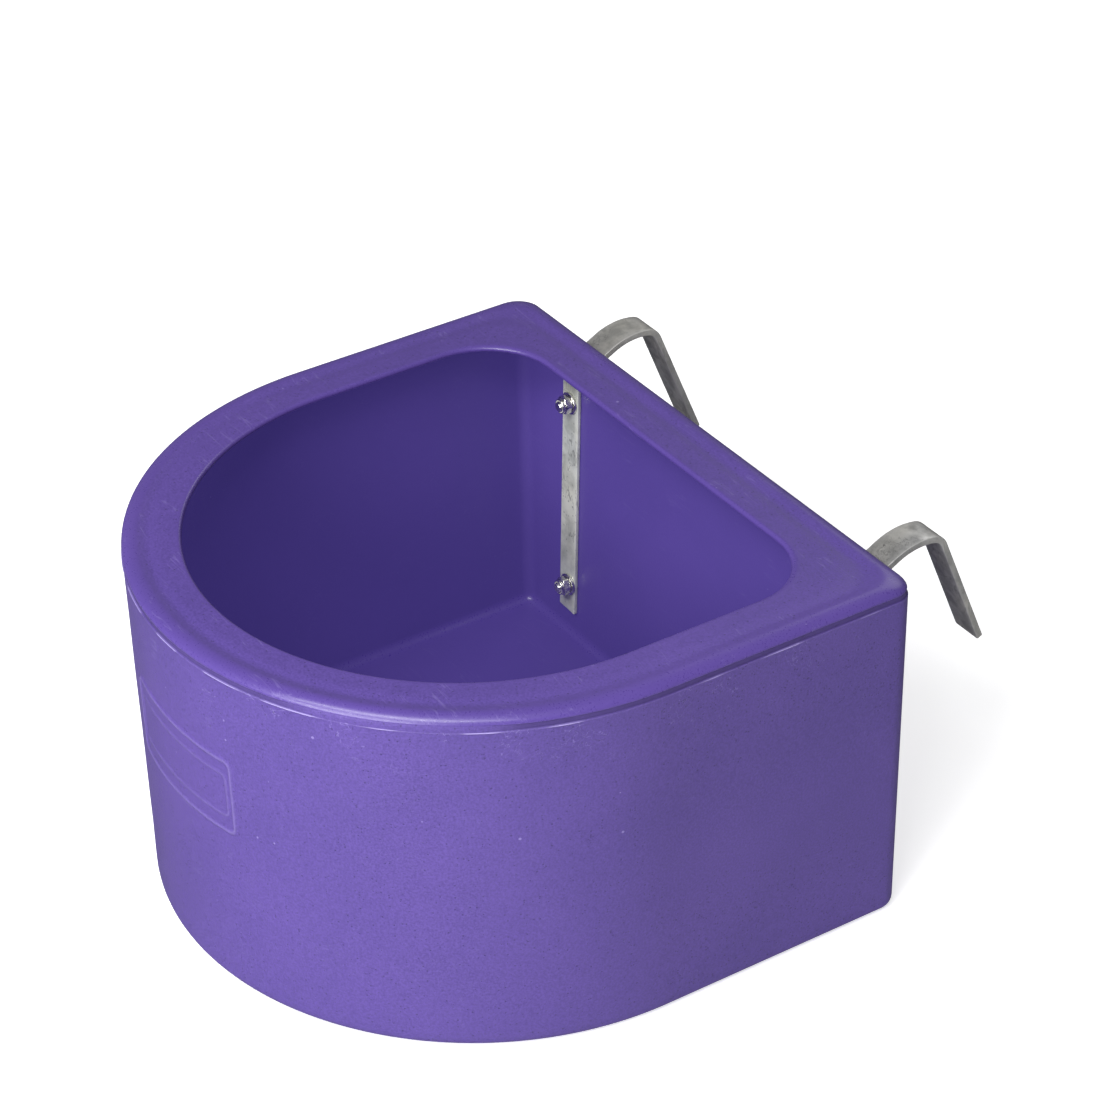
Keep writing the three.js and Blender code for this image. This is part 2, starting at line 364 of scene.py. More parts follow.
@dataclass(frozen=True)
class MouldedPolyethylene(Finish):
    """Satin coloured polyethylene with fine pits, faint clouds and a pale parting line that is
    partly worn plastic and partly a painted highlight.

    The inside is darkened with painted shade and given a painted glow, so it is never quite dark.
    """

    inside_painted_glow: float = 0.34
    shine: float = 0.42
    scuffed: Colour = (0.3, 0.25, 0.55, 1)
    flash_and_highlight_colour: Colour = (0.42, 0.36, 0.68, 1)
    inside_painted_shade_tint: Colour = (0.62, 0.63, 0.62, 1)
    inside_share: float = 0.8
    pit_depth: float = 0.00009

    def dress(self, board: Board, shader: bpy.types.Node, place: bpy.types.NodeSocket,
              effects: Effects) -> None:
        """Adds pits, grain, dust, scuffs, painted shade in the rim groove, the parting line with
        its painted highlight, and the painted shade and painted glow of the inside.
        """
        clouds, specks = effects.clouds, effects.specks
        broad = board.group(clouds, Vector=place, Scale=9.0, Contrast=1.6)
        fine = board.group(clouds, Vector=place, Scale=620.0, Detail=3.0, Contrast=2.0)
        pits = board.group(specks, Vector=place, Scale=520.0, Share=0.26, Size=0.42)
        grit = board.group(specks, Vector=place, Scale=190.0, Share=0.05, Size=0.2)
        dust = board.group(specks, Vector=place, Scale=150.0, Share=0.035, Size=0.2)
        streaks = board.group(effects.scratches, Vector=place, Scale=150.0, Stretch=16.0,
                              Width=0.012, Share=0.42)
        flash, groove, wear, inside, rubbed = (
            board.mask(name) for name in ("flash", "groove", "wear", "inside", "polish"))

        coarse = board.minus(1.0, board.times(rubbed, 0.75))
        outside = board.minus(1.0, board.times(inside, self.inside_share))
        outside = board.times(outside, coarse)
        dots = board.times(board.math("MAXIMUM", pits, grit), outside)
        scuffs = board.times(streaks, wear)
        colour = board.between(broad, -1.0, 1.0, self.shade(0.93, -0.01), self.shade(1.07, 0.015))
        grain = board.between(fine, -1.0, 1.0, (0.83, 0.83, 0.84, 1), (1.15, 1.15, 1.13, 1))
        colour = board.blend(outside, colour, grain, "MULTIPLY")
        colour = board.painted(colour, (dots, 0.55, self.shade(0.4)), (dust, 0.45, self.scuffed),
                               # The groove coat is painted shade in the recess under the rim.
                               (scuffs, 0.4, self.scuffed), (groove, 0.62, self.shade(0.5)),
                               # Pale flash line: partly worn plastic, partly a painted highlight
                               # on its raised ledge.
                               (flash, 0.85, self.flash_and_highlight_colour))
        # The inside is darkened: painted shade.
        inside_with_painted_shade = board.blend(1.0, colour, self.inside_painted_shade_tint, "MULTIPLY")
        colour = board.painted(colour, (inside, self.inside_share, inside_with_painted_shade))
        board.feed(shader, "Base Color", colour)
        # Painted glow of the inside, standing in for light; the wall is no lamp.
        glow = board.blend(inside, (0.0, 0.0, 0.0, 1.0), self.shade(1.0, -0.12))
        board.feed(shader, "Emission Color", glow)
        board.feed(shader, "Emission Strength", self.inside_painted_glow)

        polish = board.ramp(fine, -1.0, 1.0, self.roughness - 0.06, self.roughness + 0.08)
        polish = board.total(polish, (scuffs, 0.2), (rubbed, -0.15), (groove, 0.3))
        board.feed(shader, "Roughness", polish)
        board.feed(shader, "Specular IOR Level", self.shine)
        height = board.times(board.times(fine, coarse), 0.22)
        height = board.total(height, (dots, -1.0), (dust, 0.5))
        self.bump(board, shader, height, self.pit_depth)


@dataclass(frozen=True)
class Galvanised(Finish):
    """Hot-dip zinc on flat steel: dull clouds, small lumps, pale rubbed edges and dark scuffs."""

    scuffing: float = 0.5
    cloud_scale: float = 55.0
    lump_depth: float = 0.00013

    def dress(self, board: Board, shader: bpy.types.Node, place: bpy.types.NodeSocket,
              effects: Effects) -> None:
        """Adds the clouds, lumps, dark specks and scuffs, and the pale edges."""
        clouds = board.group(effects.clouds, Vector=place, Scale=self.cloud_scale, Detail=6.0,
                             Contrast=3.4)
        broad = board.group(effects.clouds, Vector=place, Scale=17.0, Detail=2.0, Contrast=2.2)
        grain = board.group(effects.clouds, Vector=place, Scale=900.0, Detail=2.0)
        lumps = board.group(effects.specks, Vector=place, Scale=210.0, Share=0.1, Size=0.3)
        dark = board.group(effects.specks, Vector=place, Scale=330.0, Share=0.2, Size=0.34)
        turned = board.out("ShaderNodeMapping", {"Vector": place, "Rotation": (0.0, 1.45, 0.2)})
        rubs = board.group(effects.scratches, Vector=turned, Scale=230.0, Stretch=9.0,
                           Width=0.03, Share=0.47)

        colour = board.between(clouds, -1.1, 1.1, self.shade(0.66), self.shade(1.2, 0.01))
        tint = board.between(broad, -0.9, 1.0, (0.86, 0.87, 0.9, 1), (1.08, 1.06, 1.0, 1))
        colour = board.blend(1.0, colour, tint, "MULTIPLY")
        stain = self.shade(0.3)
        colour = board.painted(colour, (dark, 0.55, stain), (rubs, self.scuffing, stain),
                               (board.mask("edge"), 0.55, self.shade(1.45, 0.01)))
        board.feed(shader, "Base Color", colour)
        polish = board.ramp(clouds, -1.2, 1.2, self.roughness + 0.12, self.roughness - 0.1)
        board.feed(shader, "Roughness", polish)
        height = board.total(board.times(clouds, 0.4), (lumps, 1.2), (grain, 0.07))
        self.bump(board, shader, height, self.lump_depth)


@dataclass(frozen=True)
class ZincPlate(Finish):
    """Bright zinc plating with faint turning marks and small dull spots."""

    def dress(self, board: Board, shader: bpy.types.Node, place: bpy.types.NodeSocket,
              effects: Effects) -> None:
        """Adds the faint clouds and the dull spots."""
        clouds = board.group(effects.clouds, Vector=place, Scale=260.0, Detail=4.0, Contrast=2.0)
        spots = board.group(effects.specks, Vector=place, Scale=700.0, Share=0.15, Size=0.35)
        grain = board.group(effects.clouds, Vector=place, Scale=2400.0, Detail=1.0)
        colour = board.between(clouds, -1.0, 1.0, self.shade(0.82, -0.01), self.shade(1.08, 0.03))
        colour = board.painted(colour, (spots, 0.5, self.shade(0.45)))
        board.feed(shader, "Base Color", colour)
        polish = board.ramp(clouds, -1.0, 1.0, self.roughness - 0.06, self.roughness + 0.12)
        board.feed(shader, "Roughness", polish)
        self.bump(board, shader, grain, 0.000012)


@dataclass(frozen=True)
class NaturalNylon(Finish):
    """Off-white nylon, faintly cloudy."""

    def dress(self, board: Board, shader: bpy.types.Node, place: bpy.types.NodeSocket,
              effects: Effects) -> None:
        """Adds the clouds."""
        clouds = board.group(effects.clouds, Vector=place, Scale=500.0, Contrast=1.5)
        colour = board.between(clouds, -1.0, 1.0, self.shade(0.88), self.shade(1.03))
        board.feed(shader, "Base Color", colour)
        board.feed(shader, "Roughness", board.ramp(clouds, -1.0, 1.0, 0.4, 0.6))
        self.bump(board, shader, clouds, 0.00003)


@dataclass(frozen=True)
class StudioPaper(Finish):
    """Matt white paper under the bucket that glows a little.

    Its shine on the bucket is held back, as a dark surround would hold it.
    """

    glow: float = 0.4
    seen_glow: float = 0.2
    mirrored: float = 0.2

    def dress(self, board: Board, shader: bpy.types.Node, place: bpy.types.NodeSocket,
              effects: Effects) -> None:
        """Adds the faint clouds and the glow, by the kind of ray."""
        clouds = board.group(effects.clouds, Vector=place, Scale=3.0, Detail=3.0, Contrast=1.0)
        path = board.add("ShaderNodeLightPath").outputs
        mirrored = path["Is Glossy Ray"]
        white = board.between(clouds, -1.0, 1.0, self.shade(0.99), self.shade(1.01))
        board.feed(shader, "Base Color", board.blend(mirrored, white, self.shade(self.mirrored)))
        board.feed(shader, "Roughness", board.ramp(clouds, -1.0, 1.0, 0.85, 0.95))
        board.feed(shader, "Emission Color", WHITE)
        seen = board.times(path["Is Camera Ray"], self.seen_glow)
        glow = board.total(seen, (board.minus(1.0, mirrored), self.glow))
        board.feed(shader, "Emission Strength", glow)


# ---- Mesh helpers ----


def linked(name: str, data: bpy.types.ID) -> bpy.types.Object:
    """An object for some data, linked to the scene."""
    made = bpy.data.objects.new(name, data)
    bpy.context.scene.collection.objects.link(made)
    return made


def mesh_object(name: str, points: np.ndarray, faces: list) -> bpy.types.Object:
    """Makes a smooth object at the origin from points and faces.

    Args:
        name: The object's name.
        points: Points in metres, one row each.
        faces: Point numbers of each face.

    Returns:
        The object, linked to the scene.
    """
    mesh = bpy.data.meshes.new(name)
    mesh.from_pydata([tuple(p) for p in np.asarray(points).tolist()], [], faces)
    mesh.validate()
    mesh.polygons.foreach_set("use_smooth", [True] * len(mesh.polygons))
    return linked(name, mesh)


def grid_faces(rows: int, columns: int, closed_rows: bool = False) -> list[tuple[int, ...]]:
    """Four-sided faces of rings of points, each ring closed.

    Args:
        rows: Number of rings.
        columns: Points in each ring.
        closed_rows: Whether the last ring joins the first.

    Returns:
        The faces, wound so that ring direction times row direction points outwards.
    """
    last = rows if closed_rows else rows - 1
    faces = []
    for row in range(last):
        low, high = row * columns, (row + 1) % rows * columns
        for column in range(columns):
            after = (column + 1) % columns
            faces.append((low + column, low + after, high + after, high + column))
    return faces


def set_mask(made: bpy.types.Object, name: str, values: np.ndarray) -> None:
    """Stores one number per point on an object's mesh under a name."""
    mask = made.data.attributes.new(name, "FLOAT", "POINT")
    mask.data.foreach_set("value", np.asarray(values, dtype=np.float32).ravel())


def grown(made: bpy.types.Object, tree: bpy.types.NodeTree, **values) -> bpy.types.Object:
    """Runs a geometry tree on an object and keeps the result as a plain mesh.

    Args:
        made: The object that the tree starts from.
        tree: The tree.
        **values: Its inputs, whose names use spaces for underscores.

    Returns:
        The same object with its new mesh and no modifier.
    """
    modifier = made.modifiers.new(tree.name, "NODES")
    modifier.node_group = tree
    sockets = {item.name: item.identifier for item in tree.interface.items_tree
               if item.item_type == "SOCKET" and item.in_out == "INPUT"}
    for name, value in values.items():
        modifier[sockets[name.replace("_", " ")]] = value
    graph = bpy.context.evaluated_depsgraph_get()
    graph.update()
    mesh = bpy.data.meshes.new_from_object(made.evaluated_get(graph))
    made.modifiers.clear()
    made.data = mesh
    mesh.name = made.name
    return made


def ease(value: np.ndarray, low: float, high: float) -> np.ndarray:
    """Smooth step from 0 at low to 1 at high."""
    share = np.clip((value - low) / (high - low), 0.0, 1.0)
    return share * share * (3.0 - 2.0 * share)


def waves(x: np.ndarray, y: np.ndarray, seed: int, count: int, longest: float) -> np.ndarray:
    """A few crossed waves that stay between -1 and 1.

    Args:
        x: First coordinate.
        y: Second coordinate.
        seed: Fixed seed.
        count: Number of waves.
        longest: Length of the longest wave.

    Returns:
        One value per point.
    """
    draw = np.random.default_rng(seed)
    total = np.zeros(np.broadcast(x, y).shape)
    for _ in range(count):
        angle, phase = draw.uniform(0, 2 * np.pi, 2)
        length = longest * draw.uniform(0.35, 1.0)
        total += np.sin(2 * np.pi * (x * np.cos(angle) + y * np.sin(angle)) / length + phase)
    return total / count


# ---- Geometry node trees ----


class Trees:
    """Geometry trees that the sub-assemblies share."""

    def __init__(self) -> None:
        """Builds each tree once."""
        self.bend = self._bend()
        self.press_brake = self._press_brake()
        self.bolt_places = self._bolt_places()
        self.drill = self._drill()

    def _finish(self, board: Board, given: bpy.types.bpy_prop_collection,
                result: bpy.types.Node, shape: bpy.types.NodeSocket) -> bpy.types.NodeTree:
        """Ends a tree in Realize Instances and Set Material."""
        real = board.out("GeometryNodeRealizeInstances", {0: shape})
        dressed = board.out("GeometryNodeSetMaterial", {"Geometry": real,
                                                        "Material": given["Material"]})
        board.feed(result, 0, dressed)
        return board.tree

    def _bend(self) -> bpy.types.NodeTree:
        """One bend of a bar that stands along Z, towards +Y, measured on its centre line."""
        board, given, result = new_group(
            "one bend", "GeometryNodeTree",
            {"Geometry": (GEOMETRY, None), "Start": (FLOAT, 0.2), "Angle": (FLOAT, 1.0),
             "Radius": (FLOAT, 0.01), "Centre Line": (FLOAT, 0.2)}, {"Geometry": GEOMETRY})
        along = board.out("GeometryNodeInputNamedAttribute", {"Name": "along"}, data_type="FLOAT")
        arc = board.times(given["Angle"], given["Radius"])
        travel = board.math("MINIMUM", board.minus(along, given["Start"]), arc)
        travel = board.math("MAXIMUM", travel, 0.0)
        slide = board.xyz(z=board.times(travel, -1.0))
        slid = board.vector("ADD", board.out("GeometryNodeInputPosition"), slide)
        middle = board.xyz(y=board.plus(given["Centre Line"], given["Radius"]), z=given["Start"])
        turn = board.math("DIVIDE", travel, given["Radius"])
        turned = board.out("ShaderNodeVectorRotate", {"Vector": slid, "Center": middle,
                                                      "Angle": board.times(turn, -1.0)},
                           rotation_type="X_AXIS")
        moved = board.out("GeometryNodeSetPosition", {"Geometry": given["Geometry"],
                                                      "Position": turned})
        board.feed(result, 0, moved)
        return board.tree

    def _press_brake(self) -> bpy.types.NodeTree:
        """Lumps a straight zinc-dipped blank a little, then makes its three bends, last first."""
        inputs = {**PIECE_INPUTS, "Centre Line": (FLOAT, 0.2), "Lumps": (FLOAT, 0.0001),
                  "Seed": (FLOAT, 3.0)}
        for name in ("Rise", "Crown", "Nose"):
            inputs |= {f"{name} Start": (FLOAT, 0.2), f"{name} Angle": (FLOAT, 1.0),
                       f"{name} Radius": (FLOAT, 0.01)}
        board, given, result = new_group("press brake", "GeometryNodeTree", inputs,
                                         {"Geometry": GEOMETRY})
        noise = board.out("ShaderNodeTexNoise", {"Scale": 120.0, "W": given["Seed"],
                                                 "Detail": 2.0}, noise_dimensions="4D")
        size = board.times(board.minus(noise, 0.85), given["Lumps"])
        offset = board.out("ShaderNodeVectorMath", {0: board.out("GeometryNodeInputNormal"),
                                                    "Scale": size}, operation="SCALE")
        shape = board.out("GeometryNodeSetPosition", {"Geometry": given["Geometry"],
                                                      "Offset": offset})
        for name in ("Nose", "Crown", "Rise"):
            shape = board.group(self.bend, Geometry=shape, Start=given[f"{name} Start"],
                                Angle=given[f"{name} Angle"], Radius=given[f"{name} Radius"],
                                Centre_Line=given["Centre Line"])
        return self._finish(board, given, result, shape)

    def _places(self, board: Board,
                given: bpy.types.bpy_prop_collection) -> bpy.types.NodeSocket:
        """Four points, a pair at the lower height and a pair at the upper."""
        rows = board.add("GeometryNodeJoinGeometry")
        for level in ("Lower", "Upper"):
            across = given[f"{level} Across"]
            start = board.xyz(board.times(across, -1.0), z=given[f"{level} Height"])
            step = board.xyz(board.times(across, 2.0))
            row = board.out("GeometryNodeMeshLine", {"Count": 2, "Offset": step,
                                                     "Start Location": start})
            board.feed(rows, 0, row)
        return rows.outputs[0]

    def _bolt_places(self) -> bpy.types.NodeTree:
        """Repeats one fastener, drawn on the Y axis, at the four bolt places."""
        board, given, result = new_group("bolt places", "GeometryNodeTree",
                                         {**PIECE_INPUTS, **PLACE_INPUTS}, {"Geometry": GEOMETRY})
        placed = board.out("GeometryNodeInstanceOnPoints",
                           {"Points": self._places(board, given), "Instance": given[0]})
        return self._finish(board, given, result, placed)

    def _drill(self) -> bpy.types.NodeTree:
        """Cuts the four round bolt holes through whatever is there."""
        board, given, result = new_group(
            "bolt holes", "GeometryNodeTree",
            {**PIECE_INPUTS, **PLACE_INPUTS, "Hole Radius": (FLOAT, 0.0045),
             "Wall": (FLOAT, 0.199), "Reach": (FLOAT, 0.03)}, {"Geometry": GEOMETRY})
        points = self._places(board, given)
        tool = board.out("GeometryNodeMeshCylinder", {"Vertices": 40, "Depth": given["Reach"],
                                                      "Radius": given["Hole Radius"]})
        laid = board.out("GeometryNodeTransform", {"Geometry": tool,
                                                   "Translation": board.xyz(y=given["Wall"]),
                                                   "Rotation": (np.pi / 2, 0.0, 0.0)})
        tools = board.out("GeometryNodeInstanceOnPoints", {"Points": points, "Instance": laid})
        real = board.out("GeometryNodeRealizeInstances", {0: tools})
        cut = board.out("GeometryNodeMeshBoolean", {0: given["Geometry"], 1: real},
                        operation="DIFFERENCE", solver="EXACT")
        return self._finish(board, given, result, cut)


@dataclass(frozen=True)
class BoltPlan:
    """Where the four bolts stand and how big their holes are, in metres."""

    lower: Vector
    upper: Vector
    wall: float
    hole_radius: float = 4.5 * MM

    @classmethod
    def from_frame(cls) -> "BoltPlan":
        """Reads the places from the washers' and the hooks' own boxes."""
        middles = [sum(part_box(f"right_{level}_washer"), Vector()) / 2 for level in LEVELS]
        back = min(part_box(f"{side}_hook")[0].y for side in SIDES) - 0.3 * MM
        return cls(*middles, wall=back)

    def places(self) -> dict[str, float]:
        """Tree inputs that say where the bolts are."""
        return {"Lower_Across": self.lower.x, "Upper_Across": self.upper.x,
                "Lower_Height": self.lower.z, "Upper_Height": self.upper.z}

    def drilled(self, made: bpy.types.Object, trees: Trees,
                material: bpy.types.Material) -> bpy.types.Object:
        """Cuts the bolt holes through an object."""
        return grown(made, trees.drill, Material=material, Hole_Radius=self.hole_radius,
                     Wall=self.wall, Reach=40 * MM, **self.places())


# ---- Moulded shell ----


@dataclass(frozen=True)
class Ring:
    """One ring round the shell: how far in it lies from the outer outline, and how high."""

    side: float
    front: float
    back: float
    corner: float
    z: float
    spread: float = 1.0
    groove: float = 0.0
    # Where the groove band under the rim carries painted shade.
    band: float = 0.0
    flash: float = 0.0
    wave: float = 0.0
    relief: float = 0.0
    wear: float = 0.0
    inside: float = 0.0
    polish: float = 0.0


@dataclass
class MouldedShell:
    """The hollow D-shaped moulding with its lip, parting line and blank front panel.

    Lengths are in millimetres while it is drawn, and metres in the finished mesh.
    """

    height: float = 275.0
    radius: float = 237.5
    straight: float = 199.0
    skin: float = 5.2
    back_corner: float = 14.0
    bottom_rounding: float = 10.0
    side_draft: float = 2.9
    front_draft: float = 5.9
    lip: tuple[float, float, float] = (43.3, 40.6, 44.2)
    opening_corner: float = 54.0
    rim_plump: float = 1.7
    rim_rounding: float = 10.0
    groove_top: float = 5.53
    panel_half: float = 64.0
    panel_low: float = 136.0
    panel_high: float = 200.0
    panel_painted_highlight: float = 0.16
    under_rounding: float = 4.8
    floor_rounding: float = 6.5
    flash_height: float = 0.42
    swell_height: float = 0.32
    flash_seed: int = 11
    swell_seed: int = 5
    name: str = "moulded_bucket"
    counts: dict[str, int] = field(default_factory=lambda: {
        "side": 26, "corner": 9, "back": 44, "plain": 56, "panel": 158})

    def front_angles(self) -> np.ndarray:
        """Angles round the front half, from the left side to the right, closest at the panel."""
        edge = (self.panel_half + 4.0) / self.radius
        middle = 1.5 * np.pi
        plain = self.counts["plain"]
        before = np.linspace(np.pi, middle - edge, plain, endpoint=False)
        panel = np.linspace(middle - edge, middle + edge, self.counts["panel"], endpoint=False)
        after = np.linspace(middle + edge, 2 * np.pi, plain, endpoint=False)
        return np.concatenate((before, panel, after))

    def outline(self, ring: Ring) -> np.ndarray:
        """Points of one ring, anticlockwise from the front end of the right side."""
        half, depth = self.radius - ring.side, self.radius - ring.front
        back, corner = self.straight - ring.back, ring.corner
        counts = self.counts
        run = np.linspace(0, back - corner, counts["side"], endpoint=False)
        turn = np.linspace(0, np.pi / 2, counts["corner"], endpoint=False)
        cross = np.linspace(half - corner, corner - half, counts["back"], endpoint=False)
        fall = np.linspace(back - corner, 0, counts["side"], endpoint=False)
        front = self.front_angles()
        x = (np.full_like(run, half), half - corner + corner * np.cos(turn), cross,
             corner - half - corner * np.sin(turn), np.full_like(fall, -half),
             half * np.cos(front))
        y = (run, back - corner + corner * np.sin(turn), np.full_like(cross, back),
             back - corner + corner * np.cos(turn), fall, depth * np.sin(front))
        points = np.stack((np.concatenate(x), np.concatenate(y)), axis=1)
        middle = np.array((0.0, -20.0))
        return middle + (points - middle) * ring.spread

    def even(self, inset: float, z: float, plump: float = 0.0, **marks) -> Ring:
        """A ring the same distance in all round; plump widens its back corners as it goes in."""
        corner = max(self.back_corner + (plump - 1) * inset, 2.0)
        return Ring(inset, inset, inset, corner, z, **marks)

    def lip_ring(self, share: float, inset: float, z: float, **marks) -> Ring:
        """A ring on the lip, a share of the way from an even inset to the opening."""
        sides = [inset + (edge - inset) * share for edge in self.lip]
        start = self.back_corner + (self.rim_plump - 1) * inset
        corner = start + (self.opening_corner - start) * share
        return Ring(*sides, corner, z, **marks)

    def lip_height(self, share: float) -> float:
        """Height of the lip's top, which dips most a quarter of the way in."""
        dip = 0.95 * np.exp(-((share - 0.24) / 0.15) ** 2)
        return self.height - dip - 0.25 * np.sin(np.pi * share)

    def rounding(self, inset: tuple[float, float], z: tuple[float, float], steps: int,
                 outer_first: bool, **marks) -> list[Ring]:
        """Rings round a quarter-turn edge.

        Args:
            inset: Inset where it starts and ends.
            z: Height where it starts and ends.
            steps: Number of steps.
            outer_first: Whether it starts out along the inset, not up along the height.
            **marks: Masks of its rings.

        Returns:
            The rings after the first.
        """
        rings = []
        for step in range(1, steps + 1):
            angle = step / steps * np.pi / 2
            fast, slow = np.sin(angle), 1 - np.cos(angle)
            inward, upward = (fast, slow) if outer_first else (slow, fast)
            rings.append(self.even(inset[0] + (inset[1] - inset[0]) * inward,
                                   z[0] + (z[1] - z[0]) * upward, **marks))
        return rings

    def rings(self) -> list[Ring]:
        """Every ring, from the middle of the underside over the lip to the inside floor."""
        top, skin, round_low = self.height, self.skin, self.bottom_rounding
        under, floor_edge = top - skin, 12.0
        rings = [self.even(round_low, 0.0, spread=s) for s in (0.03, 0.25, 0.5, 0.75, 0.92)]
        rings.append(self.even(round_low, 0.0))
        rings += self.rounding((round_low, 0.0), (0.0, round_low), 9, True)
        heights = np.concatenate((np.linspace(16, 130, 19), np.linspace(131.1, 205, 66),
                                  np.linspace(211, 257, 8)))
        rings += [self.even(0.0, z, wave=ease(z, 12, 50), relief=1.0,
                            wear=float(0.15 + 0.5 * ease(z, 225, 255))) for z in heights]
        rings += self.parting_rings()
        rings += [self.lip_ring(s, self.rim_rounding, self.lip_height(s), wear=0.35)
                  for s in np.linspace(0.06, 0.86, 17)]
        rings += self.opening_edge()
        inner = skin + self.under_rounding
        rings += [self.lip_ring(s, inner, under, inside=1.0) for s in (0.6, 0.3, 0.05)]
        rings += [self.even(inner, under, inside=1.0)]
        rings += self.rounding((inner, skin), (under, under - self.under_rounding), 5, True,
                               inside=1.0)
        rings += [self.even(skin, z, inside=1.0, wave=1.0, wear=0.15)
                  for z in np.linspace(255, 16, 40)]
        rings += [self.even(skin, floor_edge, inside=1.0)]
        inner = skin + self.floor_rounding
        rings += self.rounding((skin, inner), (floor_edge, skin), 7, False, inside=1.0,
                               polish=1.0)
        rings += [self.even(inner, skin, spread=s, inside=1.0, wear=0.2)
                  for s in (0.97, 0.9, 0.8, 0.68, 0.55, 0.42, 0.3, 0.18, 0.03)]
        return rings

    def rim_inset(self, drop: float, grooved: bool) -> float:
        """How far in the rim's outer edge lies.

        Args:
            drop: Distance below the rim's top.
            grooved: Whether the groove is there; without it the edge is one round.

        Returns:
            The inset.
        """
        if not grooved:
            rise = self.rim_rounding - drop
            return self.rim_rounding - float(np.sqrt(max(self.rim_rounding ** 2 - rise ** 2, 0)))
        if drop > self.groove_top:
            share = (drop - self.groove_top) / (self.rim_rounding - self.groove_top)
            return 0.8 + 0.2 * min(share, 1.0)
        rise = (self.groove_top - drop) / self.groove_top
        return 0.08 + self.rim_rounding * (1 - float(np.sqrt(max(1 - rise ** 2, 0))))

    def parting_rings(self) -> list[Ring]:
        """Flash line, the shallow groove over it, and the rounded rim."""
        top = self.height
        rings = [self.even(0.0, top - 12.6, wear=1.0)]
        for drop, flash in ((11.2, 0.0), (10.9, 0.8), (10.6, 1.0), (10.3, 0.3)):
            rings.append(self.even(0.0, top - drop, flash=flash, wear=1.0))
        drops = (9.98, 9.75, 9.2, 8.4, 7.5, 6.6, 5.8, 5.56, 5.5, 5.1, 4.6, 4.0, 3.4, 2.8, 2.2,
                 1.6, 1.1, 0.65, 0.3, 0.1, 0.0)
        for drop in drops:
            free = self.rim_inset(drop, False)
            # Rings inside the groove get the band that carries painted shade.
            rings.append(self.even(free, top - drop, wear=0.35, plump=self.rim_plump,
                                   polish=float(drop < self.groove_top),
                                   groove=self.rim_inset(drop, True) - free,
                                   band=float(drop > self.groove_top)))
        return rings

    def opening_edge(self) -> list[Ring]:
        """Half-round free edge of the lip."""
        half = self.skin / 2
        rings = []
        for angle in np.linspace(0, np.pi, 13):
            out = half * (1 - np.sin(angle))
            sides = [edge - out for edge in self.lip]
            corner = self.opening_corner - out * 0.4
            rings.append(Ring(*sides, corner, self.height - half + half * np.cos(angle),
                              wear=0.3, inside=float(angle > 1.9),
                              polish=float(angle < 2.2)))
        return rings

    def relief(self, x: np.ndarray, z: float) -> np.ndarray:
        """Height of the blank panel, with its rounded border and inner frame."""
        middle = (self.panel_low + self.panel_high) / 2
        tall = (self.panel_high - self.panel_low) / 2

        def inside(half: float, rise: float, centre: float, corner: float) -> np.ndarray:
            """Distance inside a rounded rectangle, negative outside."""
            across = np.abs(x) - half + corner
            up = np.abs(z - centre) - rise + corner
            out = np.hypot(np.maximum(across, 0), np.maximum(up, 0))
            return corner - out - np.minimum(np.maximum(across, up), 0)

        border = inside(self.panel_half, tall, middle, 8.0)
        frame_line = inside(self.panel_half - 7.0, 17.5, middle + 0.5, 5.0)
        plate = 0.35 * ease(border, 0.0, 1.6)
        bead = 0.95 * np.exp(-((border - 2.2) / 1.35) ** 2)
        inner = 0.6 * np.exp(-(frame_line / 1.25) ** 2)
        return plate + bead + inner

    def groove_share(self, angle: np.ndarray) -> np.ndarray:
        """How much of the rim groove is there; it dies out right of the middle of the front."""
        right_of_front = np.degrees(angle)
        return 1 - 0.95 * ease(right_of_front, 24, 34) * (1 - ease(right_of_front, 58, 67))

    def formed(self, ring: Ring) -> tuple[np.ndarray, dict[str, np.ndarray]]:
        """Gives one ring its flash, groove, swell, panel and draft.

        Args:
            ring: The plain ring.

        Returns:
            Its points and its masks by name.
        """
        flat = self.outline(ring)
        along = np.roll(flat, -1, axis=0) - np.roll(flat, 1, axis=0)
        out = np.stack((along[:, 1], -along[:, 0]), axis=1)
        out /= np.linalg.norm(out, axis=1)[:, None]
        angle = np.arctan2(flat[:, 0], -flat[:, 1])
        girth = angle * self.radius
        near_back = ease(flat[:, 1], 150, 185)
        ragged = 0.5 + 0.5 * waves(girth, np.zeros_like(girth), self.flash_seed, 6, 60.0)
        broken = 0.4 + 0.17 * ease(np.degrees(angle), 25, 75)
        # Pale flash line: partly worn plastic, partly a painted highlight on its raised ledge.
        flash = ring.flash * (0.1 + 0.9 * ease(ragged - broken, 0.0, 0.14))
        share = self.groove_share(angle)
        push = self.flash_height * flash - ring.groove * share
        swell = waves(girth, np.full_like(girth, ring.z), self.swell_seed, 7, 150.0) - 1.0
        push = push + self.swell_height * swell * ring.wave * (1 - near_back)
        if ring.relief:
            raised = self.relief(flat[:, 0], ring.z) * (flat[:, 1] < 0)
            push = push + raised
            # The raised panel beads get a painted highlight through the flash mask.
            flash = np.maximum(flash, self.panel_painted_highlight * ease(raised, 0.5, 1.2))
        flat = flat + out * push[:, None]
        deep = 1 - ring.z / self.height
        x = flat[:, 0] * (1 - self.side_draft / self.radius * deep)
        scale = 1 - self.front_draft / (self.straight + self.radius) * deep
        y = self.straight - (self.straight - flat[:, 1]) * scale
        # The groove band carries painted shade into the groove mask; it also keeps the polish off
        # there.
        band = ring.band * share
        masks = {"flash": flash, "groove": band, "wear": ring.wear, "inside": ring.inside,
                 "polish": ring.polish * (1 - band)}
        return (np.stack((x, y, np.full_like(x, ring.z)), axis=1),
                {name: np.full_like(x, values) for name, values in masks.items()})

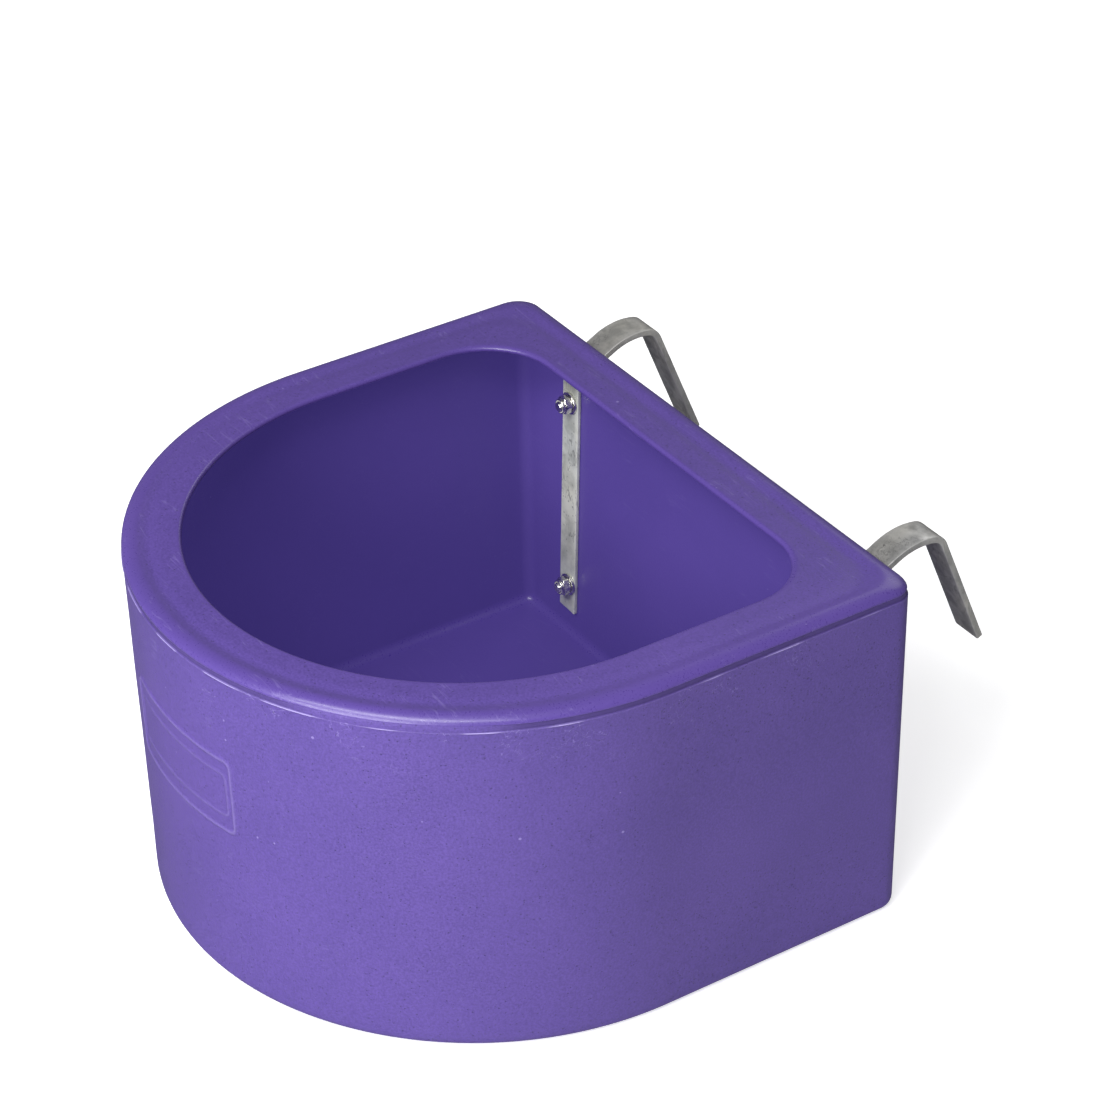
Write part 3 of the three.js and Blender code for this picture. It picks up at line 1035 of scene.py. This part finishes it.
    def build(self, trees: Trees, plan: BoltPlan,
              material: bpy.types.Material) -> bpy.types.Object:
        """Args:
            trees: Shared geometry trees.
            plan: Bolt places.
            material: The moulded finish.

        Returns:
            The finished piece.
        """
        points, masks = zip(*(self.formed(ring) for ring in self.rings()))
        rows, columns = len(points), len(points[0])
        faces = grid_faces(rows, columns)
        faces.append(tuple(reversed(range(columns))))
        faces.append(tuple(range((rows - 1) * columns, rows * columns)))
        shell = mesh_object(self.name, np.concatenate(points) * MM, faces)
        for name in masks[0]:
            set_mask(shell, name, np.concatenate([marks[name] for marks in masks]))
        plan.drilled(shell, trees, material)
        return declare(shell, Slot.POLYETHYLENE, "bucket_shell")


# ---- Bars and straps ----


def declare(made: bpy.types.Object, slot: Slot, *nodes: str) -> bpy.types.Object:
    """Rides a finished piece on the body, in place of its CAD nodes.

    Args:
        made: The piece.
        slot: Its material slot; not used.
        *nodes: CAD nodes that it stands for.

    Returns:
        The same piece.
    """
    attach(made, BODY)
    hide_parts(*nodes)
    LOG.info("%s: %d faces, for %s", made.name, len(made.data.polygons), ", ".join(nodes))
    return made


@dataclass(frozen=True)
class FlatBlank:
    """A straight length of flat bar stood on end along Z, with softened edges."""

    width: float
    thickness: float
    length: float
    softening: float
    end_corner: float
    cuts: tuple[float, ...]

    def build(self, name: str, x: float, y: float, z: float,
              lean: float = 0.0) -> bpy.types.Object:
        """Makes the blank.

        Args:
            name: Its name.
            x: Middle of its width.
            y: Middle of its thickness.
            z: Its lower end.
            lean: Degrees that its top leans towards +X, about its middle.

        Returns:
            The blank with its edge and along masks.
        """
        shape = bmesh.new()
        bmesh.ops.create_cube(shape, size=1.0)
        scale = Matrix.Diagonal((self.width, self.thickness, self.length, 1.0))
        middle = Matrix.Translation((x, y, z + self.length / 2))
        bmesh.ops.transform(shape, matrix=middle @ scale, verts=shape.verts)
        corners = [e for e in shape.edges if abs(e.verts[0].co.y - e.verts[1].co.y) > 1e-6]
        bmesh.ops.bevel(shape, geom=corners, offset=self.end_corner, segments=4, profile=0.5,
                        affect="EDGES")
        sharp = [e for e in shape.edges if e.calc_face_angle(0.0) > 0.9]
        bmesh.ops.bevel(shape, geom=sharp, offset=self.softening, segments=3, profile=0.5,
                        affect="EDGES")
        planes = [((0, 0, z + height), (0, 0, 1)) for height in self.cuts]
        planes += [((x + share * self.width, 0, 0), (1, 0, 0))
                   for share in (-0.3, -0.12, 0.12, 0.3)]
        for place, normal in planes:
            everything = shape.verts[:] + shape.edges[:] + shape.faces[:]
            bmesh.ops.bisect_plane(shape, geom=everything, plane_co=place, plane_no=normal)
        bmesh.ops.recalc_face_normals(shape, faces=shape.faces)
        mesh = bpy.data.meshes.new(name)
        shape.to_mesh(mesh)
        shape.free()
        made = linked(name, mesh)
        places = np.array([v.co for v in mesh.vertices])
        across = self.width / 2 - np.abs(places[:, 0] - x)
        through = self.thickness / 2 - np.abs(places[:, 1] - y)
        ends = self.length / 2 - np.abs(places[:, 2] - z - self.length / 2)
        near = np.sort(np.stack((across, through, ends), axis=1), axis=1)[:, 1]
        set_mask(made, "edge", 1 - ease(near, 0.4 * self.softening, 1.6 * self.softening))
        set_mask(made, "along", places[:, 2])
        mesh.transform(middle @ Matrix.Rotation(np.radians(lean), 4, "Y") @ middle.inverted())
        return made


@dataclass(frozen=True)
class Bend:
    """One bend of a hook: degrees turned and radius of its centre line in millimetres."""

    angle: float
    radius: float

    @property
    def arc(self) -> float:
        """Length of bar that the bend uses, in metres."""
        return float(np.radians(self.angle) * self.radius * MM)


@dataclass
class RailHook:
    """A flat bar bent to go up the back, over the rail and down behind it."""

    side: str
    rise: Bend = Bend(62.0, 15.5)
    crown: Bend = Bend(40.0, 47.5)
    nose: Bend = Bend(56.0, 11.5)
    upright: float = 204.0 * MM
    slope: float = 17.7 * MM
    leg: float = 98.5 * MM

    def build(self, trees: Trees, plan: BoltPlan,
              material: bpy.types.Material) -> bpy.types.Object:
        """Cuts, drills and bends the bar.

        Args:
            trees: Shared geometry trees.
            plan: Bolt places.
            material: Galvanised finish.

        Returns:
            The finished piece.
        """
        low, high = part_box(f"{self.side}_hook")
        middle_x, width, thickness = (low.x + high.x) / 2, high.x - low.x, 5.0 * MM
        centre_line = low.y + thickness / 2
        arcs = [self.rise.arc, self.crown.arc, self.nose.arc]
        starts = [self.upright, self.upright + arcs[0] + self.slope]
        starts.append(starts[1] + arcs[1])
        length = starts[2] + arcs[2] + self.leg
        cuts = [*np.linspace(8 * MM, self.upright - 6 * MM, 22)]
        for start, arc in zip(starts, arcs):
            cuts += list(np.linspace(start, start + arc, max(6, int(arc / (1.4 * MM)))))
        cuts += list(np.linspace(starts[0] + arcs[0] + 4 * MM, starts[1] - 4 * MM, 4))
        cuts += list(np.linspace(starts[2] + arcs[2] + 5 * MM, length - 4 * MM, 18))
        blank = FlatBlank(width, thickness, length, 0.75 * MM, 1.6 * MM, tuple(cuts))
        bar = blank.build(f"{self.side}_rail_hook", middle_x, centre_line, low.z)
        plan.drilled(bar, trees, material)
        bends = {}
        for name, start, bend in zip(("Rise", "Crown", "Nose"), starts,
                                     (self.rise, self.crown, self.nose)):
            bends |= {f"{name}_Start": low.z + start, f"{name}_Radius": bend.radius * MM,
                      f"{name}_Angle": float(np.radians(bend.angle))}
        grown(bar, trees.press_brake, Material=material, Centre_Line=centre_line,
              Lumps=0.3 * MM, Seed=3.0 + SIDES.index(self.side) * 5.0, **bends)
        shade_by_angle(bar, 40.0)
        return declare(bar, Slot.BAR, f"{self.side}_hook")


@dataclass
class BackingStrap:
    """Thin flat strap that spreads the bolts' load inside the back wall."""

    side: str
    width: float = 20.0 * MM
    thickness: float = 3.0 * MM
    length: float = 221.0 * MM
    lean: float = 2.6

    def build(self, trees: Trees, plan: BoltPlan,
              material: bpy.types.Material) -> bpy.types.Object:
        """Cuts, leans and drills the strap.

        Args:
            trees: Shared geometry trees.
            plan: Bolt places.
            material: Galvanised finish.

        Returns:
            The finished piece.
        """
        middle = sum(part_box(f"{self.side}_backing_strap"), Vector()) / 2
        cuts = tuple(np.linspace(6 * MM, self.length - 6 * MM, 40))
        blank = FlatBlank(self.width, self.thickness, self.length, 0.5 * MM, 0.8 * MM, cuts)
        inwards = self.lean if middle.x < 0 else -self.lean
        strap = blank.build(f"{self.side}_inner_strap", middle.x, middle.y,
                            middle.z - self.length / 2, inwards)
        plan.drilled(strap, trees, material)
        shade_by_angle(strap, 40.0)
        return declare(strap, Slot.STRAP, f"{self.side}_backing_strap")


def shade_by_angle(made: bpy.types.Object, degrees: float) -> None:
    """Shades a piece smooth, but sharp across edges steeper than an angle."""
    shape = bmesh.new()
    shape.from_mesh(made.data)
    bmesh.ops.remove_doubles(shape, verts=shape.verts, dist=1e-6)
    for face in shape.faces:
        face.smooth = True
    for edge in shape.edges:
        edge.smooth = edge.calc_face_angle(0.0) < np.radians(degrees)
    shape.to_mesh(made.data)
    shape.free()


# ---- Fasteners ----


@dataclass
class Turning:
    """Rings of points about the Y axis; each ring is round, hexagonal or threaded."""

    across_flats: float = 13.0
    turn: float = 38.0
    sides: int = 96
    pitch: float = 1.25

    def hexagon(self, angle: np.ndarray, limit: float) -> np.ndarray:
        """Radius of a hexagon at each angle, cut off by a cone of the given radius."""
        from_flat = (angle - np.radians(self.turn) + np.pi / 6) % (np.pi / 3) - np.pi / 6
        flat = self.across_flats / 2 / np.cos(from_flat)
        blunt = self.across_flats / np.sqrt(3) - 0.18
        return np.minimum(np.minimum(flat, blunt), limit)

    def body(self, name: str, rings: list[tuple[float, float, bool]]) -> bpy.types.Object:
        """Makes a closed turned body from (radius, y, hexagonal) rings up its outside.

        Args:
            name: The object's name.
            rings: Radius, place on the Y axis in millimetres, and whether it is hexagonal. A
                radius of 0 at both ends closes it; otherwise the last ring joins the first.

        Returns:
            The body on the Y axis.
        """
        angle = np.linspace(0, 2 * np.pi, self.sides, endpoint=False)
        points = []
        for radius, y, hexagonal in rings:
            reach = self.hexagon(angle, radius) if hexagonal else np.full_like(angle, radius)
            points.append(np.stack((reach * np.cos(angle), np.full_like(angle, y),
                                    reach * np.sin(angle)), axis=1))
        return self.finish(name, np.array(points), rings[0][0] > 0.2)

    def finish(self, name: str, points: np.ndarray, tube: bool) -> bpy.types.Object:
        """Joins rings to a closed mesh that faces outwards."""
        rows, columns = points.shape[:2]
        faces = [tuple(reversed(f)) for f in grid_faces(rows, columns, closed_rows=tube)]
        if not tube:
            faces.append(tuple(range(columns)))
            faces.append(tuple(reversed(range((rows - 1) * columns, rows * columns))))
        made = mesh_object(name, points.reshape(-1, 3) * MM, faces)
        shade_by_angle(made, 28.0)
        return made

    def thread(self, radius: float, low: float, high: float, step: float) -> np.ndarray:
        """Rings of a threaded rod between two places."""
        angle = np.linspace(0, 2 * np.pi, self.sides // 2, endpoint=False)
        rows = []
        for y in np.arange(low, high, step):
            phase = (y / self.pitch - angle / (2 * np.pi)) % 1.0
            cut = 0.62 * (1 - np.abs(2 * phase - 1))
            tip = np.clip((y - low) / 0.9, 0, 1)
            reach = np.minimum(radius - cut, radius - 0.9 * (1 - tip))
            rows.append(np.stack((reach * np.cos(angle), np.full_like(angle, y),
                                  reach * np.sin(angle)), axis=1))
        return np.array(rows)


@dataclass
class BoltedJoints:
    """Bolts, washers, lock nuts and nylon rings at the four bolt places."""

    turning: Turning = field(default_factory=Turning)

    def span(self, kind: str) -> tuple[float, float]:
        """Low and high ends on Y of one CAD fastener, in millimetres."""
        low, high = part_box(f"right_lower_{kind}")
        return low.y / MM, high.y / MM

    def washer(self) -> bpy.types.Object:
        """A flat washer with slightly rolled edges."""
        low, high = self.span("washer")
        inner, outer, roll = 4.3, 8.72, 0.35
        rings = [(inner, low + roll, False), (inner + roll, low, False),
                 (outer - 2 * roll, low, False), (outer - roll, low + 0.08, False),
                 (outer, low + roll, False), (outer, high - 0.1, False),
                 (outer - 0.1, high, False), (inner + 0.1, high, False),
                 (inner, high - 0.1, False)]
        return self.turning.body("washers", rings)

    def lock_nut(self) -> bpy.types.Object:
        """A hexagon nut with its round collar rolled over the nylon ring."""
        low, high = self.span("lock_nut")
        face = low + 2.2
        corner = self.turning.across_flats / np.sqrt(3)
        bore, seat, collar, shoulder, wall = 4.25, 4.9, 5.0, 6.1, 0.85
        cone = [(shoulder + share * (corner - shoulder), face + 0.15 + share ** 1.4 * 1.25, True)
                for share in np.linspace(0, 1, 8)]
        crown = [(collar + wall * np.sin(a), low + wall - wall * np.cos(a), False)
                 for a in np.linspace(0, np.pi / 2, 7)]
        rings = [(collar, low + 1.5, False), (seat, low + 0.5, False), (seat, low + 0.1, False),
                 *crown, (5.85, face - 0.35, False), (5.7, face - 0.05, False),
                 (6.0, face + 0.1, True), *cone, (corner, face + 2.2, True),
                 (corner, high - 0.9, True), (corner - 0.3, high - 0.4, True),
                 (6.35, high, True), (seat, high, False), (bore, high - 0.6, False),
                 (bore, face + 0.1, False), (collar, face, False)]
        return self.turning.body("lock_nuts", rings)

    def nylon_ring(self) -> bpy.types.Object:
        """The ring that grips the thread."""
        low, high = self.span("nylon_insert")
        rings = [(4.12, low + 0.2, False), (4.3, low, False), (4.8, low, False),
                 (4.95, low + 0.2, False), (4.95, high, False), (4.12, high, False)]
        return self.turning.body("nylon_rings", rings)

    def bolt(self) -> bpy.types.Object:
        """A threaded bolt with a hexagon head."""
        low, high = self.span("bolt")
        turning, rod, core, row = self.turning, 3.98, 0.05, 0.16
        shank = turning.finish("bolts", turning.thread(rod, low, high - 4.6, row), False)
        face, corner = high - 5.3, turning.across_flats / np.sqrt(3)
        cone = [(corner - share * (corner - 6.0), high - 1.1 + share ** 0.7 * 1.02, True)
                for share in np.linspace(0, 1, 8)]
        head = turning.body("bolt_heads", [(core, face, False), (6.2, face, False),
                                           (corner, face + 0.25, True),
                                           (corner, high - 1.3, True), *cone,
                                           (5.6, high - 0.02, False), (5.2, high - 0.14, False),
                                           (core, high - 0.14, False)])
        shape = bmesh.new()
        shape.from_mesh(shank.data)
        shape.from_mesh(head.data)
        shape.to_mesh(shank.data)
        shape.free()
        bpy.data.objects.remove(head)
        return shank

    def build(self, trees: Trees, plan: BoltPlan, plate: bpy.types.Material,
              nylon: bpy.types.Material) -> list[bpy.types.Object]:
        """Makes each kind once and repeats it at the four places.

        Args:
            trees: Shared geometry trees.
            plan: Bolt places.
            plate: Zinc finish.
            nylon: Nylon finish.

        Returns:
            One piece of each kind.
        """
        kinds = (("bolt", self.bolt, plate, Slot.FASTENER),
                 ("washer", self.washer, plate, Slot.FASTENER),
                 ("lock_nut", self.lock_nut, plate, Slot.FASTENER),
                 ("nylon_insert", self.nylon_ring, nylon, Slot.NYLON))
        pieces = []
        for kind, make, material, slot in kinds:
            made = grown(make(), trees.bolt_places, Material=material, **plan.places())
            nodes = [f"{side}_{level}_{kind}" for side in SIDES for level in LEVELS]
            pieces.append(declare(made, slot, *nodes))
        return pieces


# ---- Studio ----


@dataclass(frozen=True)
class SoftLight:
    """One large soft lamp."""

    name: str
    place: tuple[float, float, float]
    aim: tuple[float, float, float]
    size: tuple[float, float]
    power: float

    def build(self) -> None:
        """Hangs the lamp and turns it to its aim."""
        lamp = bpy.data.lights.new(self.name, "AREA")
        lamp.shape = "RECTANGLE"
        lamp.size, lamp.size_y = self.size
        lamp.energy = self.power
        made = linked(self.name, lamp)
        way = Vector(self.aim) - Vector(self.place)
        made.matrix_world = (Matrix.Translation(self.place)
                             @ way.to_track_quat("-Z", "Y").to_matrix().to_4x4())


@dataclass
class Studio:
    """Pale floor, soft light, a sky that is white to the camera, and the camera."""

    azimuth: float = 57.157
    elevation: float = 33.377
    roll: float = -0.953
    place: tuple[float, float, float] = (1.8132, -1.1064, 1.6443)
    lens: float = 121.5
    lights: tuple[SoftLight, ...] = (
        SoftLight("key", (1.0, -2.65, 1.5), (0.0, 0.0, 0.15), (2.0, 0.8), 79.0),
        SoftLight("upper", (0.62, -1.22, 1.96), (0.0, 0.0, 0.15), (1.6, 0.45), 45.0),
        SoftLight("top", (0.5, -0.2, 2.5), (0.0, 0.0, 0.1), (1.0, 1.0), 3.0),
        SoftLight("back", (-0.9, 1.9, 1.7), (0.0, 0.1, 0.1), (1.2, 0.8), 7.0),
    )
    sky: float = 0.2

    def camera(self) -> None:
        """Sets the camera from its angles, place and lens."""
        angles = (self.azimuth, self.elevation, self.roll)
        turn, lift, roll = (float(np.radians(angle)) for angle in angles)
        right = Vector((np.cos(turn), np.sin(turn), 0.0))
        back = Vector((np.sin(turn) * np.cos(lift), -np.cos(turn) * np.cos(lift), np.sin(lift)))
        up = back.cross(right)
        tilted = right * np.cos(roll) + up * np.sin(roll)
        raised = up * np.cos(roll) - right * np.sin(roll)
        data = bpy.data.cameras.new("camera")
        data.sensor_width = 36.0
        data.lens = self.lens
        data.clip_end = 50.0
        made = linked("camera", data)
        columns = Matrix((tilted, raised, back)).transposed().to_4x4()
        made.matrix_world = Matrix.Translation(self.place) @ columns
        bpy.context.scene.camera = made

    def floor(self, material: bpy.types.Material) -> None:
        """Lays the floor just under the bucket."""
        reach, level = 14.0, CAD_BOX[0].z
        corners = np.array([(-reach, -reach, level), (reach, -reach, level),
                            (reach, reach, level), (-reach, reach, level)])
        made = mesh_object("studio_floor", corners, [(0, 1, 2, 3)])
        made.data.materials.append(material)

    def build(self, material: bpy.types.Material) -> None:
        """Sets up everything round the bucket."""
        self.camera()
        self.floor(material)
        for light in self.lights:
            light.build()
        world = bpy.data.worlds.new("studio")
        world.use_nodes = True
        sky = next(n for n in world.node_tree.nodes if n.type == "BACKGROUND")
        board = Board(world.node_tree)
        board.feed(sky, "Color", WHITE)
        seen = board.add("ShaderNodeLightPath").outputs["Is Camera Ray"]
        board.feed(sky, "Strength", board.ramp(seen, 0.0, 1.0, self.sky, 1.0))
        scene = bpy.context.scene
        scene.world = world
        scene.view_settings.view_transform = "Standard"
        LOG.info("studio: %d lights", len(self.lights))


# ---- Assembly ----


@dataclass(frozen=True)
class Palette:
    """The finishes of the bucket and its studio."""

    moulding: MouldedPolyethylene = MouldedPolyethylene("moulded_polyethylene",
                                                        (0.083, 0.05, 0.248), 0.46)
    bar: Galvanised = Galvanised("galvanised_bar", (0.42, 0.42, 0.415), 0.46, 0.6, 0.5, 75.0)
    strap: Galvanised = Galvanised("galvanised_strap", (0.51, 0.53, 0.46), 0.5, 0.15, 0.7, 40.0)
    plate: ZincPlate = ZincPlate("zinc_plate", (0.72, 0.72, 0.69), 0.22, 1.0)
    nylon: NaturalNylon = NaturalNylon("natural_nylon", (0.66, 0.66, 0.6), 0.5)
    paper: StudioPaper = StudioPaper("studio_paper", (0.86, 0.86, 0.86), 0.9)


def main() -> None:
    """Builds the bucket piece by piece, then the studio."""
    logging.basicConfig(level=logging.INFO, format="%(name)s %(message)s")
    palette, effects, trees, plan = Palette(), Effects(), Trees(), BoltPlan.from_frame()
    moulding = palette.moulding.build(effects)
    bar, strap = palette.bar.build(effects), palette.strap.build(effects)
    MouldedShell().build(trees, plan, moulding)
    for side in SIDES:
        RailHook(side).build(trees, plan, bar)
        BackingStrap(side).build(trees, plan, strap)
    BoltedJoints().build(trees, plan, palette.plate.build(effects), palette.nylon.build(effects))
    Studio().build(palette.paper.build(effects))


if __name__ == "__main__":
    main()
